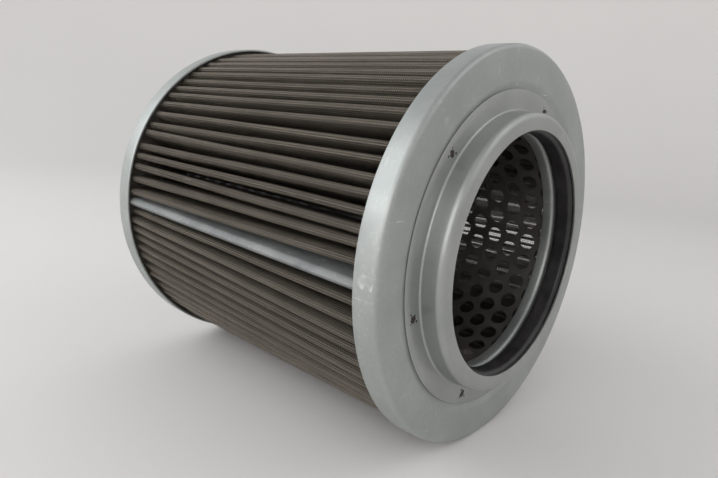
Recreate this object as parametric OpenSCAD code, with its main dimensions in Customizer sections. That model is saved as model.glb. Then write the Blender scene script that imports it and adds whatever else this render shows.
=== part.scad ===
// Suction filter element: a ring of pleated woven-wire cloth round a
// perforated core tube, bonded into two pressed end caps. The outlet cap
// carries a spot-welded collar that holds a rubber seal.
//
// Millimetres. The filter lies on its side: its axis is X, the outlet
// faces +X and +Z is up. The origin is the centre of the seal's bore.
// Profiles are drawn as [radius, height], with height 0 at the outer
// face of the outlet cap, and on_axis() lays them along X.

/* [End caps] */
// Outside diameter of both end caps
cap_d = 150; // [132:1:200]
// Distance between the outer faces of the two caps
element_l = 158; // [60:1:400]
// Thickness of the caps' sheet steel
cap_sheet = 1; // [0.6:0.1:1.5]
// Length of the skirt that covers the ends of the pleats
skirt_l = 9; // [7:0.5:14]
// Outside radius of the bend between face and skirt
cap_corner_r = 1.8; // [1.6:0.1:4]
// Depth of the recess that the collar's flange lies in
recess_depth = 1.9; // [0.8:0.1:3]
// Width of the slope from the cap's face down into the recess
recess_slope_w = 3.5; // [2.5:0.1:6]
// Depth of the dished middle of the closed cap
dish_depth = 6.5; // [4:0.5:20]
// Length of the outlet cap's inner flange below the recess floor
locating_flange_l = 5.1; // [3:0.1:12]

/* [Outlet collar] */
// Thickness of the collar's sheet steel
collar_sheet = 1; // [0.6:0.1:1.4]
// Height of the collar above the outlet cap's face
collar_h = 7.4; // [6:0.1:14]
// Width of the flat flange outside the collar's wall
collar_flange_w = 6; // [5:0.1:12]
// Outside radius of the collar's rounded crest
collar_crest_r = 2.5; // [1.8:0.1:3.5]
// Width of the lip that turns in over the seal
collar_lip_w = 5.2; // [4:0.1:8]
// Number of spot welds round the flange
spot_weld_count = 6; // [3:1:12]
// Diameter of a spot weld's mark
spot_weld_d = 2.6; // [1.5:0.1:4]

/* [Seal] */
// Width of the flat that the seal sits on
seal_seat_w = 5.4; // [4.5:0.1:8]
// How far the seal stands inwards of the collar's lip
seal_proud = 1.1; // [0.4:0.1:2]
// Length of the seal's straight bore
seal_land = 4; // [2:0.5:5]

/* [Core tube] */
// Inside diameter of the perforated core tube
core_d = 94; // [70:1:113]
// Thickness of the core tube's sheet steel
core_sheet = 1; // [0.6:0.1:1.5]
// Diameter of the perforations
perforation_d = 7; // [3:0.5:8]
// Distance between perforations, centre to centre
perforation_pitch = 9.6; // [9.2:0.1:16]
// Plain sheet left on each side of the tube's butt seam
core_margin = 4; // [3:0.5:12]
// Number of tack welds along the butt seam
tack_count = 8; // [3:1:20]

/* [Pleats] */
// Number of pleats round the ring, with the seam in place of one crest
pleat_count = 76; // [40:1:86]
// Thickness of the outer protective cloth
outer_cloth = 0.3; // [0.2:0.05:0.4]
// Thickness of the fine filtering cloth
filter_cloth = 0.2; // [0.1:0.05:0.3]
// Thickness of the inner supporting cloth
support_cloth = 0.35; // [0.2:0.05:0.45]
// Bend radius in the middle of the cloth, at crests and valleys
pleat_bend_r = 0.8; // [0.75:0.05:1]
// Gap between the pleat crests and the inside of the skirt
pleat_to_skirt = 1.4; // [1:0.1:4]

/* [Seam clip] */
// Direction of the seam, seen from the outlet, counted from +Y to +Z
seam_angle = 182; // [0:0.5:360]
// Thickness of the clip's sheet steel
clip_sheet = 0.6; // [0.4:0.1:0.8]
// Length of the clip's legs below its rounded crest
clip_leg = 9; // [4:0.5:14]

/* [Bonding] */
// Depth of adhesive below the recess floor of the outlet cap
outlet_bed_depth = 3.5; // [1:0.5:6]
// Depth of adhesive on the inside of the closed cap
closed_bed_depth = 5; // [2:0.5:8]

/* [Hidden] */
$fn = 96;

// Clearances
core_fit = 0.1;     // core tube outside the flanges that locate it
bed_fit = 0.05;     // adhesive against cap and tube
cloth_fit = 0.03;   // between two layers of cloth
core_gap = 0.3;     // core tube to the pleat valleys
collar_fit = 0.4;   // flange to the foot of the recess's slope
seal_fit = 0.05;    // seal in its groove
slope_fit = 0.5;    // adhesive beside the recess's slope
overrun = 1;        // how far a cut passes the faces it opens

// Bends, measured in the middle of the sheet
slope_bend = 2;
foot_bend = 1.3;
flange_bend = 1.6;
arc_steps = 8;

// Radii, from the core outwards
core_r = core_d / 2;
core_outer_r = core_r + core_sheet;
locating_r = core_r - core_fit;              // outside of the locating flanges
seat_r = locating_r - cap_sheet;             // inside of the outlet's flange
collar_wall_r = seat_r + seal_seat_w;        // inside of the collar's wall
collar_outer_r = collar_wall_r + collar_sheet;
collar_flange_r = collar_outer_r + collar_flange_w;
recess_foot_r = collar_flange_r + collar_fit;
recess_top_r = recess_foot_r + recess_slope_w;
lip_r = collar_wall_r - collar_lip_w;
seal_bore_r = lip_r - seal_proud;
skirt_inner_r = cap_d / 2 - cap_sheet;

// Heights, from the outlet cap's outer face
recess_floor = -recess_depth;
groove_top = collar_h - collar_sheet;
seal_mid = (groove_top + recess_floor) / 2;
outlet_bed_end = recess_floor - cap_sheet - outlet_bed_depth;
closed_inside = -element_l + cap_sheet;
closed_bed_end = closed_inside + closed_bed_depth;
pleat_l = outlet_bed_end - closed_bed_end;
core_end_gap = flange_bend - cap_sheet / 2;    // clears the bends beside the locating flanges
core_top = recess_floor - cap_sheet - core_end_gap;
core_bottom = closed_inside + core_end_gap;
core_l = core_top - core_bottom;

// Cloth: the offsets of each layer's two faces from the pack's middle
pack_t = outer_cloth + filter_cloth + support_cloth + 2 * cloth_fit;
outer_faces = [pack_t / 2 - outer_cloth, pack_t / 2];
support_faces = [-pack_t / 2, -pack_t / 2 + support_cloth];
filter_faces = [support_faces[1] + cloth_fit, outer_faces[0] - cloth_fit];

// Pleats: where the centres of the crest and valley bends lie
pleat_step = 360 / pleat_count;
pleat_outer_r = skirt_inner_r - pleat_to_skirt;
crest_centre = pleat_outer_r - pleat_bend_r - pack_t / 2;
valley_centre = core_outer_r + core_gap + pleat_bend_r + pack_t / 2;

function polar(r, a) = [r * cos(a), r * sin(a)];
function reversed(list) = [for (i = [len(list) - 1:-1:0]) list[i]];

// Half the angle that a crest turns through, from the common tangent
// of a crest bend and the valley bend beside it
crest_to_valley = polar(valley_centre, pleat_step / 2) - [crest_centre, 0];
crest_sweep = atan2(crest_to_valley[1], crest_to_valley[0])
    - acos(2 * pleat_bend_r / norm(crest_to_valley));
valley_sweep = crest_sweep - pleat_step / 2;

// ---- Bent sheet ----
// A path is a list of [x, y, bend radius in the middle of the sheet].
// sheet() gives the outline of a sheet of thickness t along it.
function flat(p) = [p[0], p[1]];
function unit(v) = v / norm(v);
function left_of(v) = [-v[1], v[0]];
function turned(v, a) = [v[0] * cos(a) - v[1] * sin(a), v[0] * sin(a) + v[1] * cos(a)];
function heading(path, i) = unit(flat(path[i + 1]) - flat(path[i]));
function turn_at(path, i) =
    let (u = heading(path, i - 1), v = heading(path, i))
    atan2(u[0] * v[1] - u[1] * v[0], u * v);
function bend(path, i, side) =
    let (
        u = heading(path, i - 1),
        a = turn_at(path, i),
        r = path[i][2],
        to_centre = left_of(u) * sign(a),
        centre = flat(path[i]) - u * r * tan(abs(a) / 2) + to_centre * r
    )
    [for (k = [0:arc_steps])
        centre - turned(to_centre, a * k / arc_steps) * (r - side * sign(a))];
function sheet_side(path, side) =
    let (last = len(path) - 1)
    concat(
        [flat(path[0]) + left_of(heading(path, 0)) * side],
        [for (i = [1:last - 1]) each bend(path, i, side)],
        [flat(path[last]) + left_of(heading(path, last - 1)) * side]
    );
function sheet(path, t) =
    concat(sheet_side(path, t / 2), reversed(sheet_side(path, -t / 2)));

// ---- Pressed profiles ----
// From the skirt's free edge, over the face and recess, to the flange
// that locates the core tube
outlet_cap_path = [
    [cap_d / 2 - cap_sheet / 2, -skirt_l],
    [cap_d / 2 - cap_sheet / 2, -cap_sheet / 2, cap_corner_r - cap_sheet / 2],
    [recess_top_r, -cap_sheet / 2, slope_bend],
    [recess_foot_r, recess_floor - cap_sheet / 2, slope_bend],
    [locating_r - cap_sheet / 2, recess_floor - cap_sheet / 2, flange_bend],
    [locating_r - cap_sheet / 2, recess_floor - locating_flange_l]
];
// From the skirt's free edge, over the face, to the middle of the dish
closed_cap_path = [
    [cap_d / 2 - cap_sheet / 2, -element_l + skirt_l],
    [cap_d / 2 - cap_sheet / 2, -element_l + cap_sheet / 2, cap_corner_r - cap_sheet / 2],
    [locating_r - cap_sheet / 2, -element_l + cap_sheet / 2, flange_bend],
    [locating_r - cap_sheet / 2, closed_inside + dish_depth - cap_sheet / 2, flange_bend],
    [0, closed_inside + dish_depth - cap_sheet / 2]
];
// From the flange's edge, up the wall and over the crest, to the lip
collar_path = [
    [collar_flange_r, recess_floor + collar_sheet / 2],
    [collar_wall_r + collar_sheet / 2, recess_floor + collar_sheet / 2, foot_bend],
    [collar_wall_r + collar_sheet / 2, collar_h - collar_sheet / 2,
        collar_crest_r - collar_sheet / 2],
    [lip_r, collar_h - collar_sheet / 2]
];

// Lays a profile or outline along the filter's axis
module on_axis(height = 0) {
    translate([height - seal_mid, 0, 0]) rotate([90, 0, 90]) children();
}

// ---- End caps ----
module outlet_end_cap() {
    color("#a9b1b3")
    on_axis() rotate_extrude() polygon(sheet(outlet_cap_path, cap_sheet));
}

module closed_end_cap() {
    color("#a9b1b3")
    on_axis() rotate_extrude() polygon(sheet(closed_cap_path, cap_sheet));
}

// ---- Outlet collar ----
module outlet_collar() {
    color("#b3bbbc")
    on_axis() rotate_extrude() polygon(sheet(collar_path, collar_sheet));
}

// Low marks on the flange, one for each spot weld that joins it to the cap
spot_weld_h = 0.2;
spot_weld_share = 0.62;    // of the flange's width, from the wall outwards
spot_weld_r = collar_outer_r + spot_weld_share * collar_flange_w;
first_spot_weld = 74.6;
module collar_spot_welds() {
    color("#4a3f38")
    for (i = [0:spot_weld_count - 1])
        on_axis(recess_floor + collar_sheet)
            rotate(first_spot_weld + 360 * i / spot_weld_count)
                translate([spot_weld_r, 0, 0]) cylinder(d = spot_weld_d, h = spot_weld_h, $fn = 24);
}

// ---- Seal ----
// Fills the groove under the lip and bulges inwards, with a straight land
seal_back_r = collar_wall_r - seal_fit;
seal_half_w = (groove_top - recess_floor) / 2 - seal_fit;
seal_shoulder_w = 1.9;
seal_crest_chamfer = 2.1;    // clears the inside of the collar's crest
seal_foot_chamfer = 1.4;
seal_shoulder_r = lip_r + seal_shoulder_w;
function seal_shoulder(end) =
    let (rise = seal_half_w - seal_land / 2, run = seal_shoulder_r - seal_bore_r)
    [for (k = [0:arc_steps])
        [seal_shoulder_r - run * sin(90 * k / arc_steps),
            seal_mid + end * (seal_land / 2 + rise * cos(90 * k / arc_steps))]];
module seal_ring() {
    color("#1d1c1e")
    on_axis() rotate_extrude() polygon(concat(
        [[seal_back_r, seal_mid + seal_half_w - seal_crest_chamfer],
            [seal_back_r - seal_crest_chamfer, seal_mid + seal_half_w]],
        seal_shoulder(1),
        reversed(seal_shoulder(-1)),
        [[seal_back_r - seal_foot_chamfer, seal_mid - seal_half_w],
            [seal_back_r, seal_mid - seal_half_w + seal_foot_chamfer]]
    ));
}

// ---- Core tube ----
// Rows run round the tube, and every other row is shifted by half a pitch.
// They stop short of the butt seam, which lies near the bottom, and run off
// both ends of the tube, as in a piece cut from perforated sheet.
core_mid_r = core_r + core_sheet / 2;
core_seam_angle = 276.5;
core_slit = 0.3;
core_round = 2 * PI * core_mid_r;
row_step = perforation_pitch * sin(60);
last_row = floor(core_l / 2 / row_step);    // counted from the middle row
holes_per_row = floor((core_round - 2 * core_margin - perforation_d) / perforation_pitch + 0.5);
hole_step = perforation_pitch / core_round * 360;
first_hole = core_seam_angle + 180 - (holes_per_row - 0.5) / 2 * hole_step;
core_middle = (core_top + core_bottom) / 2;
tack_d = 5;
tack_step = core_l / tack_count;

module core_tacks() {
    for (i = [0:tack_count - 1])
        on_axis(core_bottom + (i + 0.5) * tack_step)
            rotate(core_seam_angle) translate([core_mid_r, 0, 0]) rotate([0, 90, 0])
                cylinder(d = tack_d, h = core_sheet + 2 * overrun, center = true, $fn = 24);
}

module plain_core() {
    on_axis(core_bottom) difference() {
        cylinder(r = core_outer_r, h = core_l);
        translate([0, 0, -overrun]) cylinder(r = core_r, h = core_l + 2 * overrun);
    }
}

module core_tube() {
    color("#4b4744")
    difference() {
        plain_core();
        on_axis(core_bottom - overrun) rotate(core_seam_angle)
            translate([core_r - overrun, -core_slit / 2, 0])
                cube([core_sheet + 2 * overrun, core_slit, core_l + 2 * overrun]);
        core_tacks();
        for (row = [-last_row:last_row], i = [0:holes_per_row - 1])
            on_axis(core_middle + row * row_step)
                rotate(first_hole + (i + abs(row) % 2 / 2) * hole_step)
                    translate([core_mid_r, 0, 0]) rotate([0, 90, 0])
                        cylinder(d = perforation_d, h = core_sheet + 2 * overrun, center = true,
                            $fn = 32);
    }
}

// Tack welds that close the tube's butt seam, flush with the sheet
module core_tack_welds() {
    color("#6d6660")
    intersection() {
        core_tacks();
        plain_core();
    }
}

// ---- Pleated cloth ----
bend_sides = 3;
function across(k) = 2 * k / bend_sides - 1;    // from -1 to 1 over a bend
function crest_arc(i, side) =
    [for (k = [0:bend_sides])
        polar(crest_centre, i * pleat_step)
            + polar(pleat_bend_r + side, i * pleat_step + crest_sweep * across(k))];
function valley_arc(i, side) =
    let (a = (i + 0.5) * pleat_step)
    [for (k = [0:bend_sides])
        polar(valley_centre, a)
            + polar(pleat_bend_r - side, a + 180 - valley_sweep * across(k))];
// Where the cloth is cut off inside the seam clip
function cloth_end(side, end) =
    [crest_centre, 0] + polar(pleat_bend_r + side, end * crest_sweep);
// One face of a layer, from one end in the clip round to the other
function cloth_face(side) =
    concat(
        [cloth_end(side, 1)],
        valley_arc(0, side),
        [for (i = [1:pleat_count - 1]) each concat(crest_arc(i, side), valley_arc(i, side))],
        [cloth_end(side, -1)]
    );

module along_pleats() {
    on_axis(closed_bed_end) rotate(seam_angle) linear_extrude(pleat_l) children();
}

module cloth(faces) {
    along_pleats() polygon(concat(cloth_face(faces[0]), reversed(cloth_face(faces[1]))));
}

module outer_cloth_layer() {
    color("#7d746b") cloth(outer_faces);
}

module filter_cloth_layer() {
    color("#8d857b") cloth(filter_faces);
}

module support_cloth_layer() {
    color("#6f675f") cloth(support_faces);
}

// ---- Side seam ----
// A strip folded over the two ends of the cloth, in place of a crest
clip_inner = pleat_bend_r + pack_t / 2 + cloth_fit;
function crest_line(side, sweep) =
    [for (k = [-arc_steps:arc_steps]) [crest_centre, 0] + polar(side, sweep * k / arc_steps)];
function leg_top(side, end) = [crest_centre, 0] + polar(side, end * crest_sweep);
function leg_tip(side, end) = leg_top(side, end) + polar(clip_leg, end * (crest_sweep + 90));
function clip_side(side) =
    concat([leg_tip(side, -1)], crest_line(side, crest_sweep), [leg_tip(side, 1)]);

module side_seam_clip() {
    color("#c9ced0")
    along_pleats() polygon(concat(clip_side(clip_inner + clip_sheet), reversed(clip_side(clip_inner))));
}

// Adhesive between the two ends of the cloth, under the clip's crest
module seam_adhesive() {
    inside_cloth = pleat_bend_r - pack_t / 2 - cloth_fit;
    under_crest = clip_inner - cloth_fit;
    cut_back = 6;
    color("#3c3a36")
    along_pleats() polygon(concat(
        [leg_tip(inside_cloth, -1), leg_top(inside_cloth, -1)],
        crest_line(under_crest, crest_sweep - cut_back),
        [leg_top(inside_cloth, 1), leg_tip(inside_cloth, 1)]
    ));
}

// ---- Adhesive beds ----
bed_outer_r = skirt_inner_r - bed_fit;
bed_inner_r = core_outer_r + bed_fit;
module outlet_adhesive_bed() {
    corner = cap_corner_r;
    top = -cap_sheet - bed_fit;
    floor_under = recess_floor - cap_sheet - bed_fit;
    color("#55504a")
    on_axis() rotate_extrude() polygon([
        [bed_outer_r, outlet_bed_end], [bed_outer_r, top - corner], [bed_outer_r - corner, top],
        [recess_top_r + slope_fit, top], [recess_foot_r + slope_fit, floor_under],
        [bed_inner_r, floor_under], [bed_inner_r, outlet_bed_end]
    ]);
}

module closed_adhesive_bed() {
    corner = cap_corner_r;
    bottom = closed_inside + bed_fit;
    color("#55504a")
    on_axis() rotate_extrude() polygon([
        [bed_outer_r, closed_bed_end], [bed_outer_r, bottom + corner],
        [bed_outer_r - corner, bottom], [bed_inner_r, bottom], [bed_inner_r, closed_bed_end]
    ]);
}

outlet_end_cap();
outlet_collar();
collar_spot_welds();
seal_ring();
core_tube();
core_tack_welds();
outer_cloth_layer();
filter_cloth_layer();
support_cloth_layer();
side_seam_clip();
seam_adhesive();
outlet_adhesive_bed();
closed_adhesive_bed();
closed_end_cap();
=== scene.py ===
import math

import bmesh
import bpy
import numpy as np
from mathutils import Matrix, Vector, noise


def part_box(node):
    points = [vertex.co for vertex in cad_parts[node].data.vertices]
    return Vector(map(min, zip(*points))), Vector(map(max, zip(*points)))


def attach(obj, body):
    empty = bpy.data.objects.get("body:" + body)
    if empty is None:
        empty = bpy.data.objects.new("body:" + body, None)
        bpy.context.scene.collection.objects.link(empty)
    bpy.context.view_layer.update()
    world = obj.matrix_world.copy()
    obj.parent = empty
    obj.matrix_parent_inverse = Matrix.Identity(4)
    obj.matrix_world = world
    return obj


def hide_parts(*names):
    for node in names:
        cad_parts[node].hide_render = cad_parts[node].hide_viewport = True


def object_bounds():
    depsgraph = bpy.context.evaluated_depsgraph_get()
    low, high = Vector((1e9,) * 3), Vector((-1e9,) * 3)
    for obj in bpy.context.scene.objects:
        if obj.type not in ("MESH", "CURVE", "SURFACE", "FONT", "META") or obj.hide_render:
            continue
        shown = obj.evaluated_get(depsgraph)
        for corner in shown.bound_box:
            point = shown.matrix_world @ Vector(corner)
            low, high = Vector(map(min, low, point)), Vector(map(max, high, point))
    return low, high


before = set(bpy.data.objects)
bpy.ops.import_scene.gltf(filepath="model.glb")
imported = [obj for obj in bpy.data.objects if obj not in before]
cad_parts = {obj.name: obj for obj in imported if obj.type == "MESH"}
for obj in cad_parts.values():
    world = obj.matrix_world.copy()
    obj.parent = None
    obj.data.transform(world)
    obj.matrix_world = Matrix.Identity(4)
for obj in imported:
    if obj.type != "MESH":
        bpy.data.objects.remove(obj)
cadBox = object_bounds()
mm = 0.001

# Lengths in the dictionaries are millimetres, and angles are degrees counted
# round the filter's axis from +Y towards +Z. The outlet faces +X.


def cadSpan(node):
    low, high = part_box(node)
    return {"x0": low.x / mm, "x1": high.x / mm, "radius": high.y / mm}


outletSpan = cadSpan("outlet_end_cap")
closedSpan = cadSpan("closed_end_cap")
collarSpan = cadSpan("outlet_collar")
sealSpan = cadSpan("seal_ring")
clothSpan = cadSpan("outer_cloth_layer")
print("frame loaded:", len(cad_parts), "CAD nodes")


def addNode(tree, kind, sockets=None, **settings):
    made = tree.nodes.new(kind)
    for name, value in settings.items():
        setattr(made, name, value)
    for key, value in (sockets or {}).items():
        if isinstance(value, bpy.types.NodeSocket):
            tree.links.new(value, made.inputs[key])
        else:
            made.inputs[key].default_value = value
    return made


def calc(tree, operation, first, second=0.0):
    return addNode(tree, "ShaderNodeMath", {0: first, 1: second}, operation=operation).outputs[0]


def remap(tree, value, low, high, newLow=0.0, newHigh=1.0):
    made = addNode(tree, "ShaderNodeMapRange", {
        "Value": value, "From Min": low, "From Max": high, "To Min": newLow, "To Max": newHigh})
    return made.outputs["Result"]


def blendColour(tree, factor, first, second):
    made = addNode(tree, "ShaderNodeMix", data_type="RGBA", clamp_factor=True)
    for key, value in ((0, factor), (6, first), (7, second)):    # the mix node's colour sockets
        if isinstance(value, bpy.types.NodeSocket):
            tree.links.new(value, made.inputs[key])
        elif key == 0:
            made.inputs[key].default_value = value
        else:
            made.inputs[key].default_value = (*value, 1.0)
    return made.outputs[2]


def cloudNoise(tree, vector, scale, detail=4.0, roughness=0.55):
    made = addNode(tree, "ShaderNodeTexNoise", {
        "Vector": vector, "Scale": scale, "Detail": detail, "Roughness": roughness})
    return made.outputs["Fac"]


def newGroup(name, inputs, outputs):
    tree = bpy.data.node_groups.new(name, "ShaderNodeTree")
    for label, kind, value in inputs:
        socket = tree.interface.new_socket(label, in_out="INPUT", socket_type=kind)
        if value is not None:
            socket.default_value = value
    for label, kind in outputs:
        tree.interface.new_socket(label, in_out="OUTPUT", socket_type=kind)
    return tree, tree.nodes.new("NodeGroupInput"), tree.nodes.new("NodeGroupOutput")


def placeGroup(tree, group, **values):
    made = tree.nodes.new("ShaderNodeGroup")
    made.node_tree = group
    for name, value in values.items():
        if isinstance(value, bpy.types.NodeSocket):
            tree.links.new(value, made.inputs[name])
        else:
            made.inputs[name].default_value = value
    return made


def newMaterial(name, **constants):
    made = bpy.data.materials.new(name)
    made.use_nodes = True
    tree = made.node_tree
    shader = tree.nodes["Principled BSDF"]
    for label, value in constants.items():
        shader.inputs[label.replace("_", " ")].default_value = value
    return made, tree, shader


def buildTurnedGroup():
    # where a point lies on the turned shape: along, around and out from the axis, in millimetres
    tree, given, result = newGroup("turnedPlace", [], [
        ("Point", "NodeSocketVector"), ("Along", "NodeSocketFloat"),
        ("Around", "NodeSocketFloat"), ("Out", "NodeSocketFloat")])
    where = addNode(tree, "ShaderNodeTexCoord").outputs["Object"]
    scaled = addNode(tree, "ShaderNodeVectorMath", {0: where, 1: (1 / mm,) * 3}, operation="MULTIPLY")
    point = scaled.outputs[0]
    parts = addNode(tree, "ShaderNodeSeparateXYZ", {0: point})
    out = calc(tree, "SQRT", calc(tree, "ADD",
        calc(tree, "MULTIPLY", parts.outputs["Y"], parts.outputs["Y"]),
        calc(tree, "MULTIPLY", parts.outputs["Z"], parts.outputs["Z"])))
    angle = calc(tree, "ARCTAN2", parts.outputs["Z"], parts.outputs["Y"])
    for name, socket in (("Point", point), ("Along", parts.outputs["X"]), ("Out", out),
                         ("Around", calc(tree, "MULTIPLY", angle, out))):
        tree.links.new(socket, result.inputs[name])
    return tree


def buildScuffGroup():
    # thin bright scratches in two directions, and the soft rubbed patches round them
    tree, given, result = newGroup("scuffs", [
        ("Point", "NodeSocketVector", None), ("Size", "NodeSocketFloat", 1.0),
        ("Amount", "NodeSocketFloat", 0.5)], [("Scratch", "NodeSocketFloat"), ("Rub", "NodeSocketFloat")])
    point = given.outputs["Point"]
    streaks = []
    for turn, stretch in (((0.3, 0.5, 0.2), (1.6, 0.05, 0.05)), ((1.1, -0.4, 0.9), (0.06, 1.3, 0.06)),
                          ((-0.5, 0.8, -0.7), (0.05, 0.07, 1.8))):
        turned = addNode(tree, "ShaderNodeMapping", {
            "Vector": point, "Rotation": turn, "Scale": stretch}, vector_type="POINT").outputs[0]
        line = cloudNoise(tree, turned, calc(tree, "DIVIDE", 1.4, given.outputs["Size"]), 2.0, 0.5)
        streaks.append(remap(tree, line, 0.72, 0.78))
    lines = calc(tree, "MAXIMUM", calc(tree, "MAXIMUM", streaks[0], streaks[1]), streaks[2])
    patch = cloudNoise(tree, point, calc(tree, "DIVIDE", 0.09, given.outputs["Size"]), 3.0)
    near = remap(tree, patch, 0.42, 0.62)
    scratch = calc(tree, "MULTIPLY", calc(tree, "MULTIPLY", lines, near), given.outputs["Amount"])
    tree.links.new(scratch, result.inputs["Scratch"])
    fine = cloudNoise(tree, point, calc(tree, "DIVIDE", 0.9, given.outputs["Size"]), 5.0, 0.7)
    rub = calc(tree, "MULTIPLY", remap(tree, fine, 0.52, 0.74), near)
    tree.links.new(calc(tree, "MULTIPLY", rub, given.outputs["Amount"]), result.inputs["Rub"])
    return tree


def buildGrainGroup():
    # fine lines left by rolling and pressing, drawn out along one direction
    tree, given, result = newGroup("sheetGrain", [
        ("Point", "NodeSocketVector", None), ("Along", "NodeSocketFloat", 0.0),
        ("Around", "NodeSocketFloat", 0.0), ("Stretch", "NodeSocketFloat", 12.0)],
        [("Grain", "NodeSocketFloat"), ("Cloud", "NodeSocketFloat")])
    lines = addNode(tree, "ShaderNodeCombineXYZ", {
        "X": calc(tree, "MULTIPLY", given.outputs["Along"], 3.0),
        "Y": calc(tree, "DIVIDE", given.outputs["Around"], given.outputs["Stretch"])}).outputs[0]
    tree.links.new(cloudNoise(tree, lines, 1.0, 3.0, 0.6), result.inputs["Grain"])
    tree.links.new(cloudNoise(tree, given.outputs["Point"], 0.045, 5.0, 0.6), result.inputs["Cloud"])
    return tree


def buildWeaveGroup():
    # plain wire cloth: one set of wires runs with the filter's axis and one follows the pleats
    tree, given, result = newGroup("wireWeave", [
        ("Along", "NodeSocketFloat", 0.0), ("Run", "NodeSocketFloat", 0.0),
        ("Pitch", "NodeSocketFloat", 0.5), ("Wire", "NodeSocketFloat", 0.35)],
        [("Wires", "NodeSocketFloat"), ("Height", "NodeSocketFloat"), ("Crossing", "NodeSocketFloat")])
    rounds = []
    for axis, other in (("Along", "Run"), ("Run", "Along")):
        place = calc(tree, "DIVIDE", given.outputs[axis], given.outputs["Pitch"])
        across = calc(tree, "ABSOLUTE", calc(tree, "SUBTRACT", calc(tree, "FRACT", place), 0.5))
        share = calc(tree, "DIVIDE", across, calc(tree, "MULTIPLY", given.outputs["Wire"], 0.5))
        hump = calc(tree, "SQRT", calc(tree, "MAXIMUM", calc(tree, "SUBTRACT", 1.0,
            calc(tree, "MULTIPLY", share, share)), 0.0))
        # the wire climbs over every other crossing wire
        step = calc(tree, "ADD", calc(tree, "FLOOR", place),
            calc(tree, "DIVIDE", given.outputs[other], given.outputs["Pitch"]))
        climb = calc(tree, "MULTIPLY", calc(tree, "COSINE", calc(tree, "MULTIPLY", step, math.pi)),
            0.5 if axis == "Along" else -0.5)
        on = calc(tree, "GREATER_THAN", hump, 0.0)
        height = calc(tree, "ADD", calc(tree, "ADD", hump, climb), 1.0)
        rounds.append((on, calc(tree, "MULTIPLY", on, height)))
    (onAlong, heightAlong), (onRun, heightRun) = rounds
    tree.links.new(calc(tree, "MAXIMUM", onAlong, onRun), result.inputs["Wires"])
    tree.links.new(calc(tree, "MAXIMUM", heightAlong, heightRun), result.inputs["Height"])
    tree.links.new(calc(tree, "MULTIPLY", onAlong, onRun), result.inputs["Crossing"])
    return tree


turnedPlace = buildTurnedGroup()
scuffs = buildScuffGroup()
sheetGrain = buildGrainGroup()
wireWeave = buildWeaveGroup()
print("shared effects ready")

platedLook = {"base": (0.43, 0.452, 0.442), "dull": (0.35, 0.372, 0.365), "pale": (0.80, 0.795, 0.77),
              "metallic": 0.72, "roughness": (0.38, 0.54), "scuffs": 1.05, "bump": 0.04}
collarLook = {"base": (0.43, 0.445, 0.43), "dull": (0.34, 0.355, 0.35), "pale": (0.70, 0.71, 0.70),
              "metallic": 0.8, "roughness": (0.32, 0.46), "scuffs": 0.6, "bump": 0.03}
clipLook = {"base": (0.31, 0.32, 0.315), "dull": (0.17, 0.18, 0.185), "pale": (0.85, 0.86, 0.86),
            "metallic": 0.5, "roughness": (0.48, 0.75), "scuffs": 1.6, "bump": 0.22}
coreLook = {"base": (0.195, 0.183, 0.168), "dull": (0.105, 0.098, 0.090), "pale": (0.36, 0.34, 0.31),
            "metallic": 0.75, "roughness": (0.38, 0.60), "scuffs": 0.5, "bump": 0.05}


def sheetSteel(name, look, size=1.0):
    made, tree, shader = newMaterial(name, Metallic=look["metallic"])
    place = placeGroup(tree, turnedPlace)
    point = place.outputs["Point"]
    grain = placeGroup(tree, sheetGrain, Point=point, Along=place.outputs["Out"],
                       Around=place.outputs["Around"], Stretch=14.0)
    marks = placeGroup(tree, scuffs, Point=point, Size=size, Amount=look["scuffs"])
    tone = remap(tree, grain.outputs["Cloud"], 0.3, 0.7)
    colour = blendColour(tree, tone, look["dull"], look["base"])
    colour = blendColour(tree, calc(tree, "MULTIPLY", grain.outputs["Grain"], 0.35), colour, look["base"])
    colour = blendColour(tree, calc(tree, "MULTIPLY", marks.outputs["Rub"], 0.35), colour, look["pale"])
    colour = blendColour(tree, marks.outputs["Scratch"], colour, look["pale"])
    tree.links.new(colour, shader.inputs["Base Color"])
    low, high = look["roughness"]
    rough = remap(tree, grain.outputs["Grain"], 0.3, 0.7, low, high)
    rough = calc(tree, "ADD", rough, calc(tree, "MULTIPLY", marks.outputs["Rub"], 0.15))
    tree.links.new(rough, shader.inputs["Roughness"])
    height = calc(tree, "SUBTRACT", calc(tree, "ADD", grain.outputs["Cloud"],
        calc(tree, "MULTIPLY", grain.outputs["Grain"], 0.25)),
        calc(tree, "MULTIPLY", marks.outputs["Scratch"], 0.3))
    bump = addNode(tree, "ShaderNodeBump", {"Height": height, "Strength": look["bump"] * 4,
                                            "Distance": 0.0004})
    tree.links.new(bump.outputs[0], shader.inputs["Normal"])
    return made


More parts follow.
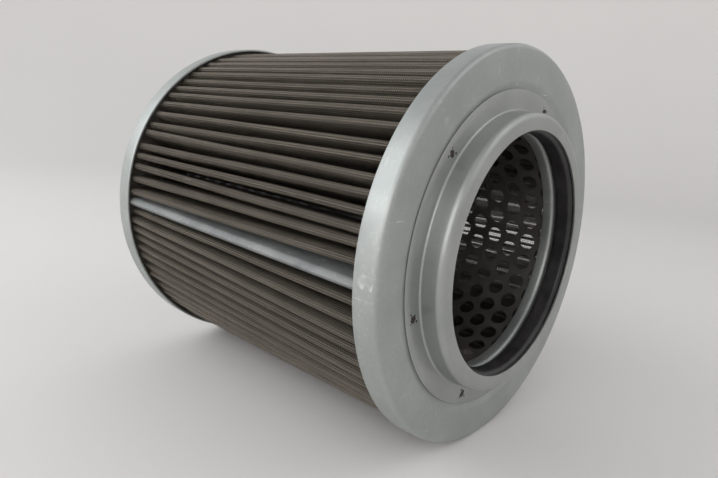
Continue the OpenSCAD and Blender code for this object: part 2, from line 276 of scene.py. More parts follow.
def sealRubber():
    made, tree, shader = newMaterial("sealRubber")
    shader.inputs["Specular IOR Level"].default_value = 0.45
    place = placeGroup(tree, turnedPlace)
    point = place.outputs["Point"]
    bloom = remap(tree, cloudNoise(tree, point, 0.12, 5.0, 0.65), 0.35, 0.75)
    dust = remap(tree, cloudNoise(tree, point, 2.6, 3.0, 0.7), 0.66, 0.78)
    colour = blendColour(tree, bloom, (0.016, 0.015, 0.016), (0.050, 0.046, 0.049))
    colour = blendColour(tree, calc(tree, "MULTIPLY", dust, 0.25), colour, (0.22, 0.21, 0.20))
    tree.links.new(colour, shader.inputs["Base Color"])
    tree.links.new(remap(tree, bloom, 0.0, 1.0, 0.36, 0.52), shader.inputs["Roughness"])
    rings = cloudNoise(tree, addNode(tree, "ShaderNodeCombineXYZ", {
        "X": calc(tree, "MULTIPLY", place.outputs["Along"], 2.2),
        "Y": calc(tree, "DIVIDE", place.outputs["Around"], 18.0)}).outputs[0], 1.0, 3.0)
    bump = addNode(tree, "ShaderNodeBump", {"Height": calc(tree, "ADD", rings, dust), "Strength": 0.25,
                                            "Distance": 0.0002})
    tree.links.new(bump.outputs[0], shader.inputs["Normal"])
    return made


# pitch and wire: spacing of the wires, and the share of it that a wire takes
# closes: how steeply it is seen, from where the openings begin to hide to where they all do
# the last colour of each cloth is a painted highlight, laid where the wires cross
clothLook = {
    "outerCloth": {"pitch": 0.88, "wire": 0.18, "bright": (0.300, 0.262, 0.213),
                   "dark": (0.155, 0.130, 0.101), "paintedHighlight": (0.56, 0.51, 0.43), "closes": (0.66, 0.88)},
    "filterCloth": {"pitch": 0.26, "wire": 0.05, "bright": (0.25, 0.225, 0.195),
                    "dark": (0.13, 0.112, 0.094), "paintedHighlight": (0.30, 0.27, 0.24), "closes": (0.66, 0.88)},
    "supportCloth": {"pitch": 0.84, "wire": 0.05, "bright": (0.24, 0.215, 0.185),
                     "dark": (0.12, 0.102, 0.086), "paintedHighlight": (0.28, 0.25, 0.22), "closes": (0.66, 0.88)},
}
clothWear = {"waver": 0.6, "waverScale": 0.2, "stainScale": 0.06, "streakAlong": 0.03, "streakAcross": 0.9,
             "crossingPaintedHighlight": 0.7, "roughness": (0.42, 0.62),
             # painted shade: the pleats darken below these radii, towards the bottom of the folds
             "paintedDepthShade": (0.02, 0.017, 0.014), "paintedDepthShadeShare": 0.68, "paintedDepthShadeFrom": 71.0, "paintedDepthShadeTo": 66.5}


def wireCloth(name, look):
    wear = clothWear
    made, tree, shader = newMaterial(name, Metallic=0.35)
    place = placeGroup(tree, turnedPlace)
    point, along = place.outputs["Point"], place.outputs["Along"]
    run = addNode(tree, "ShaderNodeAttribute", attribute_name="clothRun").outputs["Fac"]
    waver = calc(tree, "MULTIPLY", cloudNoise(tree, point, wear["waverScale"], 2.0), wear["waver"])
    weave = placeGroup(tree, wireWeave, Along=calc(tree, "ADD", along, waver), Run=run,
                       Pitch=look["pitch"], Wire=look["wire"])
    stain = remap(tree, cloudNoise(tree, point, wear["stainScale"], 4.0, 0.6), 0.3, 0.7)
    streak = cloudNoise(tree, addNode(tree, "ShaderNodeCombineXYZ", {
        "X": calc(tree, "MULTIPLY", along, wear["streakAlong"]),
        "Y": calc(tree, "MULTIPLY", run, wear["streakAcross"])}).outputs[0], 1.0, 4.0, 0.6)
    shade = calc(tree, "ADD", calc(tree, "MULTIPLY", stain, 0.5),
                 calc(tree, "MULTIPLY", remap(tree, streak, 0.3, 0.7), 0.5))
    colour = blendColour(tree, shade, look["dark"], look["bright"])
    # painted highlight: the cloth turns paler where the wires cross
    paintedHighlight = calc(tree, "MULTIPLY", weave.outputs["Crossing"], wear["crossingPaintedHighlight"])
    colour = blendColour(tree, paintedHighlight, colour, look["paintedHighlight"])
    # painted shade: the cloth darkens from the crests down into the valleys between the pleats
    outOfPaintedShade = remap(tree, place.outputs["Out"], wear["paintedDepthShadeTo"], wear["paintedDepthShadeFrom"])
    colour = blendColour(tree, outOfPaintedShade, blendColour(tree, wear["paintedDepthShadeShare"], colour, wear["paintedDepthShade"]), colour)
    tree.links.new(colour, shader.inputs["Base Color"])
    # at a glancing angle the wires hide the openings between them
    glance = addNode(tree, "ShaderNodeLayerWeight").outputs["Facing"]
    closed = remap(tree, glance, *look["closes"])
    tree.links.new(calc(tree, "MAXIMUM", weave.outputs["Wires"], closed), shader.inputs["Alpha"])
    tree.links.new(remap(tree, stain, 0.0, 1.0, *wear["roughness"]), shader.inputs["Roughness"])
    bump = addNode(tree, "ShaderNodeBump", {"Height": weave.outputs["Height"], "Strength": 0.5,
                                            "Distance": 0.00012})
    tree.links.new(bump.outputs[0], shader.inputs["Normal"])
    return made


def beddingAdhesive():
    made, tree, shader = newMaterial("beddingAdhesive")
    place = placeGroup(tree, turnedPlace)
    mottle = remap(tree, cloudNoise(tree, place.outputs["Point"], 0.35, 5.0, 0.65), 0.3, 0.7)
    tree.links.new(blendColour(tree, mottle, (0.055, 0.048, 0.042), (0.115, 0.104, 0.092)),
                   shader.inputs["Base Color"])
    tree.links.new(remap(tree, mottle, 0.0, 1.0, 0.35, 0.6), shader.inputs["Roughness"])
    bump = addNode(tree, "ShaderNodeBump", {"Height": mottle, "Strength": 0.5, "Distance": 0.0004})
    tree.links.new(bump.outputs[0], shader.inputs["Normal"])
    return made


def burntWeld(name, dark, light):
    made, tree, shader = newMaterial(name, Metallic=0.35)
    place = placeGroup(tree, turnedPlace)
    spots = remap(tree, cloudNoise(tree, place.outputs["Point"], 1.6, 5.0, 0.7), 0.3, 0.7)
    tree.links.new(blendColour(tree, spots, dark, light), shader.inputs["Base Color"])
    tree.links.new(remap(tree, spots, 0.0, 1.0, 0.75, 0.5), shader.inputs["Roughness"])
    bump = addNode(tree, "ShaderNodeBump", {"Height": spots, "Strength": 0.8, "Distance": 0.0003})
    tree.links.new(bump.outputs[0], shader.inputs["Normal"])
    return made


finishes = {
    "capSteel": sheetSteel("platedCapSteel", platedLook),
    "collarSteel": sheetSteel("platedCollarSteel", collarLook, 0.7),
    "clipSteel": sheetSteel("galvanisedClip", clipLook, 0.35),
    "coreSteel": sheetSteel("darkCoreSteel", coreLook, 0.8),
    "seal": sealRubber(),
    "adhesive": beddingAdhesive(),
    "spotWeld": burntWeld("burntSpotWeld", (0.018, 0.014, 0.011), (0.085, 0.066, 0.052)),
    "tackWeld": burntWeld("tackWeldBead", (0.07, 0.06, 0.055), (0.20, 0.18, 0.165)),
}
for cloth, look in clothLook.items():
    finishes[cloth] = wireCloth(cloth, look)
print("finishes ready:", len(finishes))


def makePiece(name, points, faces, finish, replaced=(), sharp=32.0):
    mesh = bpy.data.meshes.new(name)
    mesh.from_pydata([tuple(p) for p in points], [], faces)
    shape = bmesh.new()
    shape.from_mesh(mesh)
    bmesh.ops.remove_doubles(shape, verts=shape.verts, dist=0.001 * mm)
    bmesh.ops.recalc_face_normals(shape, faces=shape.faces)
    shape.to_mesh(mesh)
    shape.free()
    mesh.shade_smooth()
    mesh.set_sharp_from_angle(angle=math.radians(sharp))
    mesh.materials.append(finishes[finish])
    piece = bpy.data.objects.new(name, mesh)
    bpy.context.scene.collection.objects.link(piece)
    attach(piece, "root")
    if replaced:
        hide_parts(*replaced)
    return piece


def rotated(v, angle):
    return np.array([v[0] * math.cos(angle) - v[1] * math.sin(angle),
                     v[0] * math.sin(angle) + v[1] * math.cos(angle)])


def sheetSide(path, side, steps):
    # one face of a bent sheet: path holds (out, along, bend radius) in the middle of the sheet
    spots = [np.array(p[:2], float) for p in path]
    aims = [(b - a) / np.linalg.norm(b - a) for a, b in zip(spots, spots[1:])]
    left = [np.array([-u[1], u[0]]) for u in aims]
    found = [spots[0] + left[0] * side]
    for i in range(1, len(spots) - 1):
        u, v = aims[i - 1], aims[i]
        turn = math.atan2(u[0] * v[1] - u[1] * v[0], float(u @ v))
        radius = path[i][2]
        toCentre = left[i - 1] * math.copysign(1, turn)
        centre = spots[i] - u * radius * math.tan(abs(turn) / 2) + toCentre * radius
        for k in range(steps + 1):
            reach = radius - side * math.copysign(1, turn)
            found.append(centre - rotated(toCentre, turn * k / steps) * reach)
    found.append(spots[-1] + left[-1] * side)
    return found


def sheetOutline(path, thickness, steps=8, edge=0.3):
    # the closed outline of a bent sheet, with its two free edges rounded
    half = thickness / 2
    outer, inner = sheetSide(path, half, steps), sheetSide(path, -half, steps)
    outline = []
    for here, there in ((outer, inner), (inner[::-1], outer[::-1])):
        outline += here[1:-1]
        inward = here[-2] - here[-1]
        inward = inward / np.linalg.norm(inward)
        across = (there[-1] - here[-1]) / np.linalg.norm(there[-1] - here[-1])
        rounded = [here[-1] + inward * edge * (1 - math.sin(a)) + across * edge * (1 - math.cos(a))
                   for a in (0.0, math.pi / 6, math.pi / 3, math.pi / 2)]
        others = [there[-1] + inward * edge * (1 - math.sin(a)) - across * edge * (1 - math.cos(a))
                  for a in (math.pi / 2, math.pi / 3, math.pi / 6, 0.0)]
        if np.linalg.norm(here[-1]) > 0 and here[-1][0] > 0.01:
            outline += rounded + others
        else:
            outline += [here[-1], there[-1]]
    return outline


def evenOut(outline, longest):
    # no edge of the outline stays longer than this, so that a dent has points to move
    closer = []
    for a, b in zip(outline, outline[1:] + outline[:1]):
        parts = max(1, math.ceil(np.linalg.norm(b - a) / longest))
        closer += [a + (b - a) * k / parts for k in range(parts)]
    return closer


def lathe(outline, steps, unevenness=None):
    # turns a closed outline of (out, along) round the filter's axis
    points, faces, n = [], [], len(outline)
    for i in range(steps):
        a = 2 * math.pi * i / steps
        for out, along in outline:
            if unevenness:
                out, along = unevenness(out, along, a)
            points.append((along * mm, out * math.cos(a) * mm, out * math.sin(a) * mm))
    for i in range(steps):
        j = (i + 1) % steps
        for k in range(n):
            m = (k + 1) % n
            if outline[k][0] > 1e-6 or outline[m][0] > 1e-6:
                faces.append((i * n + k, i * n + m, j * n + m, j * n + k))
    return points, faces


def softNoise(x, y, seed):
    # smooth unevenness between about -1 and 1
    return noise.noise(Vector((x, y, seed * 7.31)))

capShape = {"sheet": 1.0, "corner": 1.8, "faceBend": 3.2, "flangeBend": 1.6, "recessFoot": 58.7,
            "recessTop": 62.2, "recessDepth": 1.9, "locatingRadius": 46.9, "locatingDrop": 5.1,
            "dish": 6.5, "steps": 240, "dent": 0.12, "dentSize": 16.0, "dentsFrom": 20.0,
            "skirtWave": 0.18, "skirtWaves": 2.4, "skirtFrom": 70.2}


def dentedCap(seed, faceX, skirtX):
    # the face sinks a little here and there, and the skirt's free edge wanders inwards
    inward = math.copysign(1, skirtX - faceX)

    def place(out, along, angle):
        y, z = math.cos(angle), math.sin(angle)
        size, waves = capShape["dentSize"], capShape["skirtWaves"]
        sink = max(0.0, softNoise(y * out / size, z * out / size, seed))
        sink *= min(1.0, out / capShape["dentsFrom"])
        wave = max(0.0, softNoise(y * waves, z * waves, seed + 3))
        toEdge = min(1.0, max(0.0, (along - faceX) / (skirtX - faceX)))
        rim = 1.0 if out > capShape["skirtFrom"] else 0.0
        return (out - capShape["skirtWave"] * wave * toEdge * rim,
                along + inward * capShape["dent"] * sink * (1 - toEdge))
    return place


def outletEndCap():
    half = capShape["sheet"] / 2
    face, skirt, rim = outletSpan["x1"], outletSpan["x0"], outletSpan["radius"]
    recess = face - capShape["recessDepth"]
    path = [
        (rim - half, skirt),
        (rim - half, face - half, capShape["corner"] - half),
        (capShape["recessTop"], face - half, capShape["faceBend"]),
        (capShape["recessFoot"], recess - half, capShape["faceBend"]),
        (capShape["locatingRadius"] - half, recess - half, capShape["flangeBend"]),
        (capShape["locatingRadius"] - half, recess - capShape["locatingDrop"]),
    ]
    outline = evenOut(sheetOutline(path, capShape["sheet"]), 3.0)
    points, faces = lathe(outline, capShape["steps"], dentedCap(2, face, skirt))
    makePiece("OutletEndCap", points, faces, "capSteel", ["outlet_end_cap"])


def closedEndCap():
    half = capShape["sheet"] / 2
    face, skirt, rim = closedSpan["x0"], closedSpan["x1"], closedSpan["radius"]
    dish = face + capShape["sheet"] + capShape["dish"] - half
    path = [
        (rim - half, skirt),
        (rim - half, face + half, capShape["corner"] - half),
        (capShape["locatingRadius"] - half, face + half, capShape["flangeBend"]),
        (capShape["locatingRadius"] - half, dish, capShape["flangeBend"]),
        (0.0, dish),
    ]
    outline = evenOut(sheetOutline(path, capShape["sheet"]), 3.0)
    points, faces = lathe(outline, capShape["steps"], dentedCap(5, face, skirt))
    makePiece("ClosedEndCap", points, faces, "capSteel", ["closed_end_cap"])


outletEndCap()
closedEndCap()
print("end caps made")

collarShape = {"sheet": 1.0, "wall": 51.3, "footBend": 1.3, "crest": 2.5, "lip": 46.1, "steps": 240,
               "oval": 0.06, "ovalWaves": 1.7,
               # the flange's edge is bevelled over this width, so it lies along the slope of the recess
               "spread": 0.25, "edge": 0.2, "bevel": 1.2, "bevelSlope": 1.55}
spotWelds = {"angles": (14, 71, 139, 196, 252.5, 314), "out": 55.9, "rays": 22, "rings": 5,
             # each weld is one scar and its spatter: out, sideways and width
             "marks": ((0.0, 0.0, 2.7), (-1.5, 1.5, 0.9), (0.9, -1.9, 0.7), (1.4, 1.3, 0.5)),
             "ragged": 0.5, "lobes": 2.3, "rough": 0.25, "grain": 2.0,
             # heights of the pit in the middle, the ridge round it, the buried rim and the deepest pit
             "height": 0.2, "pit": 0.15, "ridge": 0.6, "rim": -0.09, "deepest": -0.6}
sealShape = {"bore": 45.0, "shoulder": 48.0, "back": 51.25, "land": 4.0, "crestChamfer": 2.1,
             "footChamfer": 1.4, "steps": 240, "arc": 12, "uneven": 0.12, "waves": 2.6}


def outletCollar():
    half = collarShape["sheet"] / 2
    top, foot = collarSpan["x1"], collarSpan["x0"]
    wall = collarShape["wall"] + half
    path = [
        (collarSpan["radius"] + collarShape["spread"], foot + half),
        (wall, foot + half, collarShape["footBend"]),
        (wall, top - half, collarShape["crest"] - half),
        (collarShape["lip"], top - half),
    ]

    def place(out, along, angle):
        waves, bevel = collarShape["ovalWaves"], collarShape["bevel"]
        squeeze = max(0.0, softNoise(math.cos(angle) * waves, math.sin(angle) * waves, 9))
        rim = min(1.0, max(0.0, (out - collarSpan["radius"] + bevel) / bevel))
        return out - collarShape["oval"] * squeeze + rim * collarShape["bevelSlope"] * (along - foot), along
    outline = evenOut(sheetOutline(path, collarShape["sheet"], 10, collarShape["edge"]), 2.5)
    points, faces = lathe(outline, collarShape["steps"], place)
    makePiece("OutletCollar", points, faces, "collarSteel", ["outlet_collar"])


def weldScar(points, faces, centre, outward, sideways, width, rimSeed, grainSeed):
    # a low disc whose rim wanders, with a pit in the middle and a closed underside
    rays, rings, first = spotWelds["rays"], spotWelds["rings"], len(points)
    lobes, grain = spotWelds["lobes"], spotWelds["grain"]
    for ring in range(rings + 1):
        share = ring / rings
        rise = spotWelds["pit"] + spotWelds["ridge"] * math.sin(math.pi * min(1.0, share * 1.05))
        if ring == rings:
            rise = spotWelds["rim"]
        for ray in range(rays):
            b = 2 * math.pi * ray / rays
            across, beside = math.cos(b), math.sin(b)
            ragged = 1 + spotWelds["ragged"] * softNoise(lobes * across, lobes * beside, rimSeed)
            out = width / 2 * share * ragged
            rough = spotWelds["rough"] * softNoise(out * grain * across, out * grain * beside, grainSeed)
            spot = centre + outward * out * across + sideways * out * beside
            spot.x += spotWelds["height"] * max(spotWelds["deepest"], rise + rough)
            points.append(spot * mm)
    for ring in range(rings):
        inner, outer = first + ring * rays, first + (ring + 1) * rays
        for ray in range(rays):
            nextRay = (ray + 1) % rays
            faces.append((inner + ray, outer + ray, outer + nextRay, inner + nextRay))
    faces.append(tuple(first + rings * rays + ray for ray in range(rays)))


def spotWeldMarks():
    points, faces = [], []
    floorX = collarSpan["x0"] + collarShape["sheet"]
    for weld, angle in enumerate(spotWelds["angles"]):
        a = math.radians(angle)
        outward, sideways = Vector((0, math.cos(a), math.sin(a))), Vector((0, -math.sin(a), math.cos(a)))
        for mark, (shiftOut, shiftSide, width) in enumerate(spotWelds["marks"]):
            mirror = 1 if weld % 2 else -1
            centre = outward * (spotWelds["out"] + shiftOut) + sideways * shiftSide * mirror
            centre.x = floorX
            weldScar(points, faces, centre, outward, sideways, width, weld + 7 * mark + 20, weld + 40)
    makePiece("SpotWeldMarks", points, faces, "spotWeld", ["collar_spot_welds"], 60)


def sealRing():
    half, land = sealSpan["x1"], sealShape["land"] / 2
    rise, run = half - land, sealShape["shoulder"] - sealShape["bore"]
    turns = [math.pi / 2 * k / sealShape["arc"] for k in range(sealShape["arc"] + 1)]
    outline = [np.array([sealShape["back"], half - sealShape["crestChamfer"]]),
               np.array([sealShape["back"] - sealShape["crestChamfer"], half])]
    for end in (1, -1):
        quarter = [np.array([sealShape["shoulder"] - run * math.sin(a), end * (land + rise * math.cos(a))])
                   for a in turns]
        outline += quarter if end == 1 else quarter[::-1]
    outline += [np.array([sealShape["back"] - sealShape["footChamfer"], -half]),
                np.array([sealShape["back"], -half + sealShape["footChamfer"]])]

    def place(out, along, angle):
        # rubber sits a little unevenly under the lip
        waves = sealShape["waves"]
        wander = softNoise(math.cos(angle) * waves, math.sin(angle) * waves, 14)
        return out + sealShape["uneven"] * max(0.0, wander) * (out < sealShape["shoulder"]), along
    points, faces = lathe(evenOut(outline, 1.2), sealShape["steps"], place)
    makePiece("SealRing", points, faces, "seal", ["seal_ring"], 50)


outletCollar()
spotWeldMarks()
sealRing()
print("collar, spot welds and seal made")

pleatShape = {
    "clipAngle": (183.0, 180.4),         # at the outlet's end and at the closed end
    # spacing of the crests next to the clip, from the clip outwards, at those two ends
    "aboveClip": ((6.0, 4.2, 3.2, 4.5, 4.3, 3.9, 4.8, 4.0, 5.4, 4.7),
                  (3.8, 4.7, 4.6, 3.9, 3.6, 5.4, 3.2, 4.6, 4.4, 4.2)),
    "belowClip": ((5.2, 4.7, 5.6, 3.7, 4.2, 4.7, 4.1, 4.9, 4.5, 4.2),
                  (3.6, 3.1, 3.2, 3.5, 3.9, 3.6, 5.0, 3.2, 5.9, 4.1)),
    "nearAbove": 35, "nearBelow": 24, "spread": 0.16,
    # on the far side two pleats share the spacing of one perforation
    "farSpacing": 5.79, "farFirst": 6.65, "farAbove": 4, "farBelow": 13,
    # bends are measured to the middle of the pack; crests away from the clip stand this much higher
    "crestCentre": 71.095, "valleyCentre": 49.555, "crestBend": 1.05, "bend": 0.8, "pack": 0.91,
    "rise": 0.9, "uneven": 0.35, "besideClip": -1.0,
    # crests on the far side lean over by this angle, most in the middle of the stated range
    "lean": -2.4, "leanFrom": 290.0, "leanTo": 400.0,
    "layers": {"outerCloth": (0.305, "OuterClothLayer", "outer_cloth", "outer_cloth_layer"),
               "filterCloth": (0.025, "FilterClothLayer", "filter_cloth", "filter_cloth_layer"),
               "supportCloth": (-0.28, "SupportClothLayer", "support_cloth", "support_cloth_layer")},
    "bendSteps": 5, "flankSteps": 5, "stations": 15, "wander": 0.35, "bow": 0.35, "seed": 11,
    "wanderNoise": (2.3, 3.7, 31), "bowNoise": (1.7, 2.9, 57),    # along, from one pleat to the next, seed
}


def spacingList(total, count, chance, given):
    # angles from one crest to the next that add up to total, the given ones first
    free = 1 + pleatShape["spread"] * chance.uniform(-1, 1, count - len(given))
    return list(given) + list(free / free.sum() * (total - sum(given)))


def crestAngles():
    # one list of crest angles for each end of the filter, counted down and up from the clip
    shape, ends = pleatShape, []
    for end in (0, 1):
        chance = np.random.default_rng(shape["seed"])
        clip = shape["clipAngle"][end]
        farTop = shape["farFirst"] + shape["farSpacing"] * shape["farAbove"]
        farLow = shape["farFirst"] - shape["farSpacing"] * shape["farBelow"]
        above = spacingList(clip - farTop, shape["nearAbove"], chance, shape["aboveClip"][end])
        below = spacingList(farLow + 360 - clip, shape["nearBelow"], chance, shape["belowClip"][end])
        far = [shape["farSpacing"]] * (shape["farAbove"] + shape["farBelow"])
        turns = below + far + above[::-1]
        ends.append(clip + np.concatenate([[0.0], np.cumsum(turns)]))
    return np.radians(ends[0]), np.radians(ends[1])


def turnedLeft(v):
    return np.array([-v[1], v[0]])


def foldedLine(crests, valleys, crestOut, bows, side):
    # one face of the pack seen along the axis, as points and the cloth's length up to each
    shape, points = pleatShape, []
    bends, steps = {1: shape["crestBend"], -1: shape["bend"]}, shape["bendSteps"]
    centres = []
    for i, a in enumerate(crests):
        centres.append((np.array([math.cos(a), math.sin(a)]) * crestOut[i], 1))
        if i < len(valleys):
            b = valleys[i]
            centres.append((np.array([math.cos(b), math.sin(b)]) * shape["valleyCentre"], -1))
    aims = []
    for (c, way), (d, _) in zip(centres, centres[1:]):
        gap = d - c
        lean = math.asin(sum(bends.values()) / np.linalg.norm(gap))
        aims.append(math.atan2(gap[1], gap[0]) + way * lean)
    for i, (c, way) in enumerate(centres):
        into = aims[i - 1] if i else aims[0]
        outOf = aims[i] if i < len(aims) else aims[-1]
        turn = (outOf - into + math.pi) % (2 * math.pi) - math.pi
        if way * turn < 0:
            turn += way * 2 * math.pi
        count = steps if 0 < i < len(centres) - 1 else 0
        for k in range(count + 1):
            a = into + (turn * k / count if count else 0.0)
            points.append(c - way * turnedLeft((math.cos(a), math.sin(a))) * (bends[way] + way * side))
        if i < len(aims):
            a = aims[i]
            d, nextWay = centres[i + 1]
            left = turnedLeft((math.cos(a), math.sin(a)))
            start, end = points[-1], d - nextWay * left * (bends[nextWay] + nextWay * side)
            for k in range(1, shape["flankSteps"]):
                share = k / shape["flankSteps"]
                bulge = left * bows[i] * math.sin(math.pi * share) ** 2
                points.append(start + (end - start) * share + bulge)
    return np.array(points)


def pleatStations():
    # along, crest angles, valley angles, crest radii and flank bows at each place along the filter
    shape, found = pleatShape, []
    front, back = crestAngles()
    chance = np.random.default_rng(shape["seed"] + 1)
    count = len(front)
    lift = shape["rise"] - np.abs(chance.normal(0, shape["uneven"], count))
    lift[[0, -1]] = 0.0    # the cloth's two ends, under the clip
    lift[1] = shape["besideClip"]
    flanks = chance.normal(0, shape["bow"], 2 * (count - 1))
    ends = clothSpan["x1"], clothSpan["x0"]
    for s in range(shape["stations"]):
        share = s / (shape["stations"] - 1)
        loose = math.sin(math.pi * share) ** 0.5 if 0 < share < 1 else 0.0
        step, across, seed = shape["wanderNoise"]
        wander = np.array([softNoise(share * step, i * across, seed) for i in range(count)])
        crests = front + (back - front) * share + np.radians(shape["wander"]) * wander * loose
        crests[0] = front[0] + (back[0] - front[0]) * share
        crests[-1] = crests[0] + 2 * math.pi
        valleys = (crests[1:] + crests[:-1]) / 2
        leaning = (np.degrees(crests) - shape["leanFrom"]) / (shape["leanTo"] - shape["leanFrom"])
        far = np.sin(np.pi * np.clip(leaning, 0, 1)) ** 2
        crests = crests + np.radians(shape["lean"]) * far
        step, across, seed = shape["bowNoise"]
        sway = np.array([softNoise(share * step, i * across, seed) for i in range(2 * (count - 1))])
        straight = 1 - np.repeat(far[:-1], 2) ** 0.5    # the leaning pleats stay straight
        bows = (flanks + shape["bow"] * sway * loose) * straight
        along = ends[0] + (ends[1] - ends[0]) * share
        found.append((along, crests, valleys, shape["crestCentre"] + lift, bows))
    return found


def clothLayer(finish, side, name, slot, node):
    points, faces, runs = [], [], []
    for along, crests, valleys, crestOut, bows in stations:
        line = foldedLine(crests, valleys, crestOut, bows, side)
        runs.append(np.concatenate([[0], np.cumsum(np.linalg.norm(np.diff(line, axis=0), axis=1))]))
        points += [(along * mm, y * mm, z * mm) for y, z in line]
    n = len(line)
    for s in range(len(stations) - 1):
        here, there = s * n, (s + 1) * n
        faces += [(here + k, here + k + 1, there + k + 1, there + k) for k in range(n - 1)]
    piece = makePiece(name, points, faces, finish, [node], 80)
    store = piece.data.attributes.new("clothRun", "FLOAT", "POINT")
    store.data.foreach_set("value", np.concatenate(runs).astype(np.float32))


stations = pleatStations()
for finish, layer in pleatShape["layers"].items():
    clothLayer(finish, *layer)
print("pleated cloth made:", len(stations[0][1]) - 1, "pleats")

clipShape = {"sheet": 0.6, "leg": 9.0, "gap": 0.03, "sweep": 88.8, "steps": 9, "stations": 70,
             # the crest rises to a peak, narrowed to this share, and is chipped most at the outlet's end
             "peak": 0.75, "narrow": 0.55, "chip": 0.3, "outletChips": 2.0, "adhesiveShort": 1.0,
             "nicks": ((26, 0.5, 71, 1.0), (61, 1.5, 72, 0.6))}    # how many, row, seed and share of each


def polar(r, a):
    return np.array([r * math.cos(a), r * math.sin(a)])


def foldLine(crest, leg, sweep, legLength, steps):
    # one face of a fold over the cloth's ends: from one leg's tip over the crest to the other's
    down = polar(legLength, sweep + math.pi / 2)
    line = [polar(leg, -sweep) + [down[0], -down[1]], polar(leg, -sweep)]
    line += [polar(crest, sweep * k / steps) for k in range(1 - steps, steps)]
    return line + [polar(leg, sweep), polar(leg, sweep) + down]


def alongSeam(name, profile, finish, node):
    # sweeps a closed profile along the seam, which leans from one end of the filter to the other
    front, back, points, faces = stations[0], stations[-1], [], []
    count = clipShape["stations"]
    for s in range(count + 1):
        share = s / count
        angle = front[1][0] + (back[1][0] - front[1][0]) * share
        along = front[0] + (back[0] - front[0]) * share
        ring = [rotated(p + [pleatShape["crestCentre"], 0.0], angle) for p in profile(share)]
        points += [(along * mm, y * mm, z * mm) for y, z in ring]
    n = len(ring)
    for s in range(count):
        faces += [(s * n + k, s * n + (k + 1) % n, (s + 1) * n + (k + 1) % n, (s + 1) * n + k)
                  for k in range(n)]
    faces += [tuple(range(n)), tuple(count * n + k for k in range(n))[::-1]]
    makePiece(name, points, faces, finish, [node], 40)


def clipProfile(share):
    shape = clipShape
    inner = pleatShape["bend"] + pleatShape["pack"] / 2 + shape["gap"]
    nick = shape["chip"] * sum(part * softNoise(share * many, row, seed)
                               for many, row, seed, part in shape["nicks"])
    outer = inner + shape["sheet"]
    sweep, leg = math.radians(shape["sweep"]), shape["leg"] + nick
    faces = foldLine(outer, outer, sweep, leg, shape["steps"])
    peak = shape["peak"] - abs(nick) * (1 + shape["outletChips"] * (1 - share))
    for k in range(2, len(faces) - 2):
        lean = abs(faces[k][1]) / outer
        width = shape["narrow"] + (1 - shape["narrow"]) * lean
        faces[k] = faces[k] * [1.0, width] + [peak * (1 - lean), 0.0]
    return faces + foldLine(inner, inner, sweep, leg, shape["steps"])[::-1]


def beadProfile(share):
    # fills the space between the cloth's two ends and the hollow under the clip's crest
    shape = clipShape
    between = pleatShape["bend"] - pleatShape["pack"] / 2 - shape["gap"]
    crest = pleatShape["bend"] + pleatShape["pack"] / 2 - shape["gap"]
    sweep = math.radians(shape["sweep"])
    return foldLine(crest, between, sweep, shape["leg"] - shape["adhesiveShort"], shape["steps"])


alongSeam("SideSeamClip", clipProfile, "clipSteel", "side_seam_clip")
alongSeam("SeamAdhesive", beadProfile, "adhesive", "seam_adhesive")
print("seam clip made")

# CAD nodes whose shape is right keep it and get a finish
carriedOver = {"core_tube": "coreSteel", "core_tack_welds": "tackWeld",
               "outlet_adhesive_bed": "adhesive", "closed_adhesive_bed": "adhesive"}
for node, finish in carriedOver.items():
    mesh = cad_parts[node].data
    mesh.materials.clear()
    mesh.materials.append(finishes[finish])
print("CAD nodes finished:", len(carriedOver))

studio = {"floorRadius": 900.0, "coveRadius": 620.0, "wallHeight": 660.0, "paper": (0.80, 0.785, 0.77),
          "skyLow": (0.95, 0.94, 0.93), "skyHigh": (0.42, 0.42, 0.425), "skyStrength": 1.08}
lamps = {
    "keyLamp": {"place": (420, 380, 700), "size": 600, "watts": 0.6, "colour": (1.0, 0.985, 0.96)},
    "fillLamp": {"place": (-300, -900, 420), "size": 900, "watts": 2.5, "colour": (0.97, 0.985, 1.0)},
    "frontLamp": {"place": (380, -900, 400), "size": 600, "watts": 1.7, "colour": (1.0, 0.99, 0.97)},
    "sideLamp": {"place": (-820, -620, 560), "size": 900, "watts": 3.3, "colour": (0.95, 0.98, 1.0)},
}
cameraView = {"azimuth": 41.48, "elevation": 12.25, "roll": 4.68, "distance": 265.2,
              "right": 2.87, "up": -10.91, "lens": 28.32}


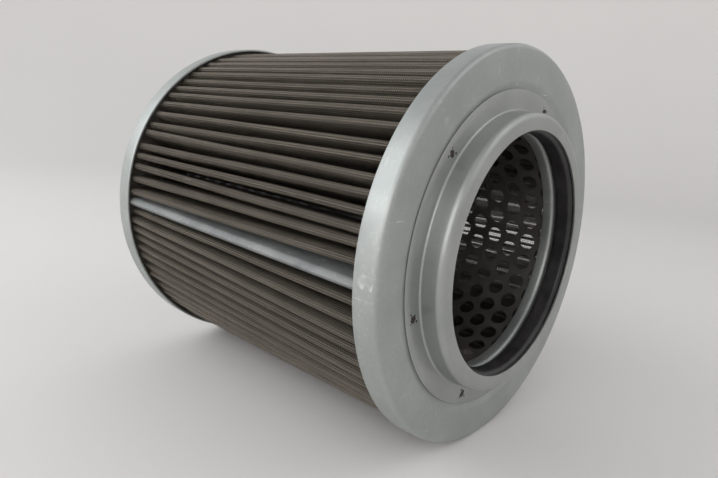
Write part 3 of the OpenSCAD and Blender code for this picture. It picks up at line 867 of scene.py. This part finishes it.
def paperBowl():
    # a floor that curves up into a wall all round, so that no horizon shows
    shape = studio
    floorZ = cadBox[0].z / mm
    profile = [(0.0, floorZ)] + [(shape["floorRadius"] * k / 6, floorZ) for k in range(1, 7)]
    for k in range(1, 17):
        a = math.pi / 2 * k / 16
        profile.append((shape["floorRadius"] + shape["coveRadius"] * math.sin(a),
                        floorZ + shape["coveRadius"] * (1 - math.cos(a))))
    profile.append((shape["floorRadius"] + shape["coveRadius"], floorZ + shape["wallHeight"]))
    turns, points, faces = 96, [], []
    for i in range(turns):
        a = 2 * math.pi * i / turns
        points += [(r * math.cos(a) * mm, r * math.sin(a) * mm, z * mm) for r, z in profile]
    n = len(profile)
    for i in range(turns):
        j = (i + 1) % turns
        faces += [(i * n + k, j * n + k, j * n + k + 1, i * n + k + 1) for k in range(n - 1)]
    mesh = bpy.data.meshes.new("paperBowl")
    mesh.from_pydata(points, [], faces)
    mesh.shade_smooth()
    made, tree, shader = newMaterial("palePaper", Roughness=0.9)
    where = addNode(tree, "ShaderNodeTexCoord").outputs["Object"]
    tone = remap(tree, cloudNoise(tree, where, 3.0, 3.0), 0.3, 0.7)
    darker = tuple(c * 0.985 for c in shape["paper"])
    tree.links.new(blendColour(tree, tone, darker, shape["paper"]), shader.inputs["Base Color"])
    mesh.materials.append(made)
    bowl = bpy.data.objects.new("paperBowl", mesh)
    bpy.context.scene.collection.objects.link(bowl)


def softSky():
    world = bpy.data.worlds.new("softSky")
    world.use_nodes = True
    tree = world.node_tree
    way = addNode(tree, "ShaderNodeTexCoord").outputs["Generated"]
    height = addNode(tree, "ShaderNodeSeparateXYZ", {0: way}).outputs["Z"]
    colour = blendColour(tree, remap(tree, height, 0.1, 0.9), studio["skyLow"], studio["skyHigh"])
    sky = tree.nodes["Background"]
    tree.links.new(colour, sky.inputs["Color"])
    sky.inputs["Strength"].default_value = studio["skyStrength"]
    bpy.context.scene.world = world


def softLamps():
    for name, lamp in lamps.items():
        light = bpy.data.lights.new(name, "AREA")
        light.shape, light.size = "DISK", lamp["size"] * mm
        light.energy, light.color = lamp["watts"], lamp["colour"]
        holder = bpy.data.objects.new(name, light)
        holder.location = Vector(lamp["place"]) * mm
        centre = (cadBox[0] + cadBox[1]) / 2
        holder.rotation_euler = (centre - holder.location).to_track_quat("-Z", "Y").to_euler()
        bpy.context.scene.collection.objects.link(holder)


def benchCamera():
    turn, rise = math.radians(cameraView["azimuth"]), math.radians(cameraView["elevation"])
    back = Vector((math.sin(turn) * math.cos(rise), -math.cos(turn) * math.cos(rise), math.sin(rise)))
    level = Vector((math.cos(turn), math.sin(turn), 0.0))
    level.rotate(Matrix.Rotation(math.radians(cameraView["roll"]), 3, back))
    up = back.cross(level)
    middle = Vector(((outletSpan["x1"] + closedSpan["x0"]) / 2, 0.0, 0.0))
    place = middle + back * cameraView["distance"] + level * cameraView["right"] + up * cameraView["up"]
    camera = bpy.data.cameras.new("benchCamera")
    camera.lens = cameraView["lens"]
    camera.clip_start, camera.clip_end = 0.01, 20.0
    holder = bpy.data.objects.new("benchCamera", camera)
    axes = Matrix((level, up, back)).transposed().to_4x4()
    holder.matrix_world = Matrix.Translation(place * mm) @ axes
    bpy.context.scene.collection.objects.link(holder)
    bpy.context.scene.camera = holder


paperBowl()
softSky()
softLamps()
benchCamera()
bpy.context.scene.view_settings.view_transform = "Standard"
print("floor, light and camera ready")
